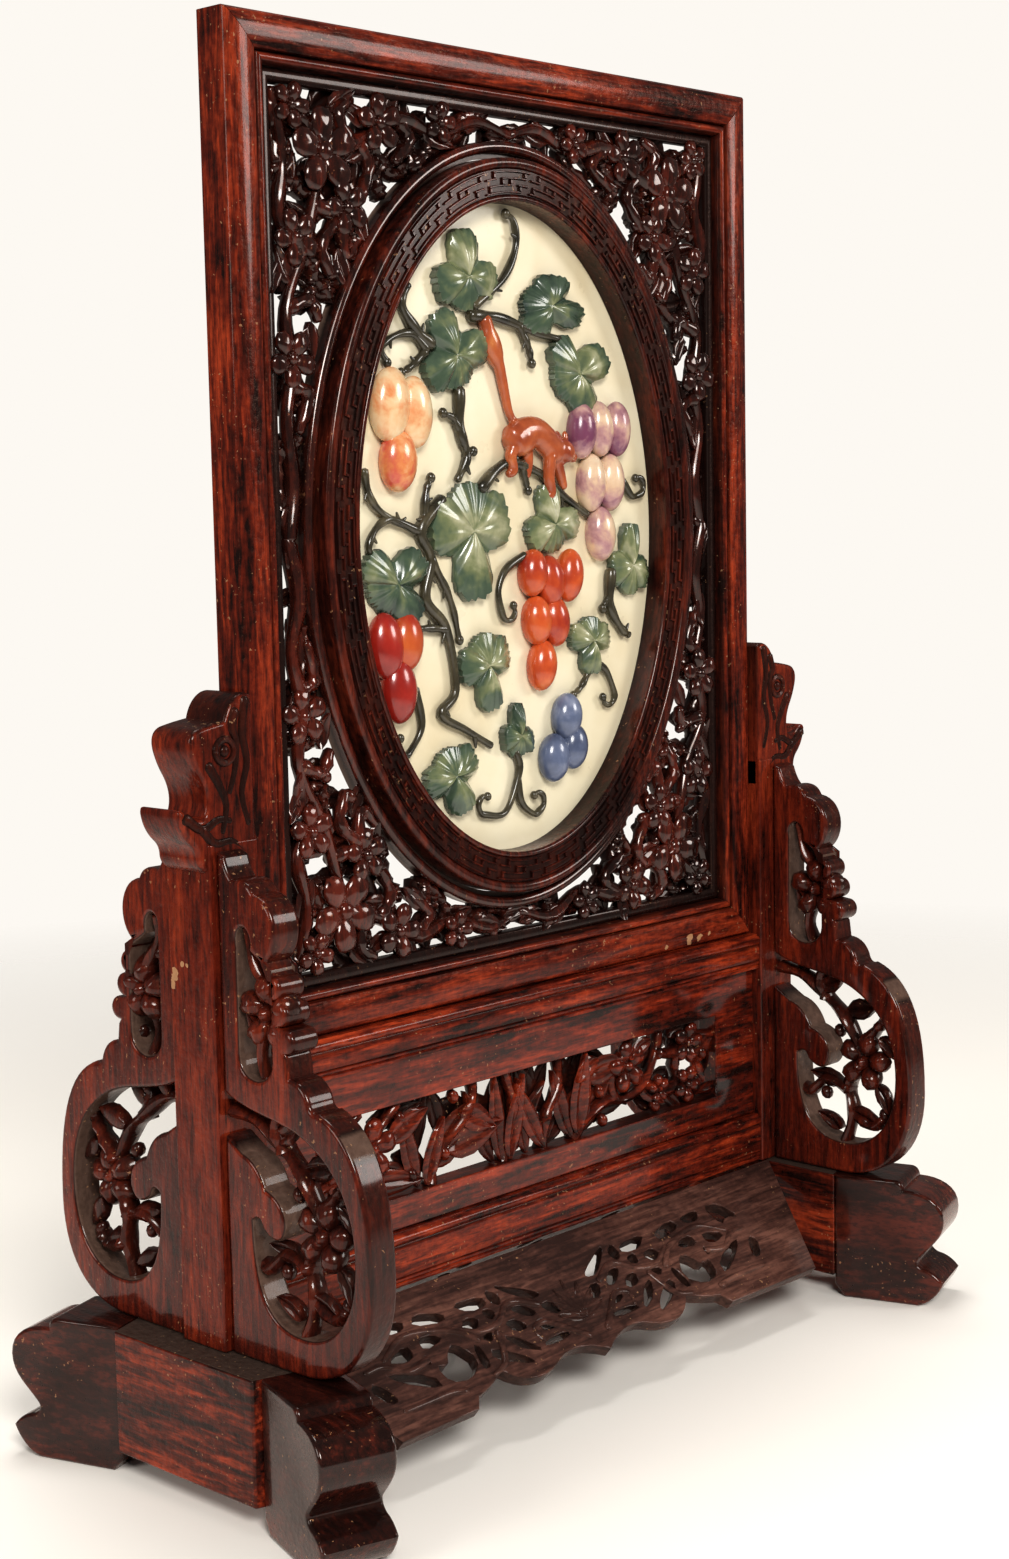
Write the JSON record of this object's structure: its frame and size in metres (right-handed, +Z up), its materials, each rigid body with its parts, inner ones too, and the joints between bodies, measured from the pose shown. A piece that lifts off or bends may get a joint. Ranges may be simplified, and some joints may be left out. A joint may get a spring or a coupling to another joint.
{
  "type": "carved wood table screen",
  "caption": "Pierced hardwood table screen with an oval hardstone picture of vine, fruit and squirrel, standing in its carved two-footed stand.",
  "frame": {"origin": "on the table top, midway between the four feet", "axes": "+Z up, +X to the right of someone facing the picture, the picture faces -Y"},
  "size_m": [0.4234, 0.209, 0.577],
  "materials": {
    "screen_wood": "polished red-brown rosewood",
    "openwork_wood": "glossy dark rosewood",
    "ring_wood": "glossy dark rosewood",
    "stand_wood": "polished red-brown rosewood",
    "bracket_wood": "glossy red-brown rosewood",
    "waist_wood": "polished red-brown rosewood",
    "toe_wood": "dark worn polish",
    "apron_wood": "dull dark brown",
    "plaque_stone": "polished pale celadon stone",
    "vine_stone": "polished dark grey-green stone",
    "leaf_stone": "polished green stone",
    "peach_stone": "polished cream and peach stone",
    "purple_stone": "polished purple and cream stone",
    "orange_stone": "polished orange carnelian",
    "red_stone": "polished red carnelian",
    "blue_stone": "polished grey-blue stone",
    "squirrel_stone": "polished brown-orange stone"
  },
  "bodies": {
    "root": {"screen_rail_bottom": "screen_wood", "screen_rail_top": "screen_wood", "screen_stile_left": "screen_wood", "screen_stile_right": "screen_wood", "openwork_panel": "openwork_wood", "fret_ring": "ring_wood", "stone_plaque": "plaque_stone", "vine_top": "vine_stone", "vine_left": "vine_stone", "vine_upper_stem": "vine_stone", "vine_main": "vine_stone", "vine_branch": "vine_stone", "vine_right": "vine_stone", "tendril_right": "vine_stone", "tendril_orange": "vine_stone", "tendril_blue": "vine_stone", "tendril_foot": "vine_stone", "tendril_left": "vine_stone", "leaf_1": "leaf_stone", "leaf_2": "leaf_stone", "leaf_3": "leaf_stone", "leaf_4": "leaf_stone", "leaf_5": "leaf_stone", "leaf_6": "leaf_stone", "leaf_7": "leaf_stone", "leaf_8": "leaf_stone", "leaf_9": "leaf_stone", "leaf_10": "leaf_stone", "leaf_11": "leaf_stone", "leaf_12": "leaf_stone", "fruit_peach": "peach_stone", "fruit_purple": "purple_stone", "fruit_orange": "orange_stone", "fruit_red": "red_stone", "fruit_blue": "blue_stone", "squirrel": "squirrel_stone", "foot_bar_left": "stand_wood", "foot_bar_right": "stand_wood", "toe_left_front": "toe_wood", "toe_left_back": "toe_wood", "toe_right_front": "toe_wood", "toe_right_back": "toe_wood", "post_left": "stand_wood", "post_right": "stand_wood", "bracket_left_front": "bracket_wood", "bracket_left_back": "bracket_wood", "bracket_right_front": "bracket_wood", "bracket_right_back": "bracket_wood", "stand_rail_lower": "stand_wood", "stand_rail_upper": "stand_wood", "waist_panel": "waist_wood", "apron_front": "apron_wood", "apron_back": "apron_wood"}
  },
  "joints": []
}
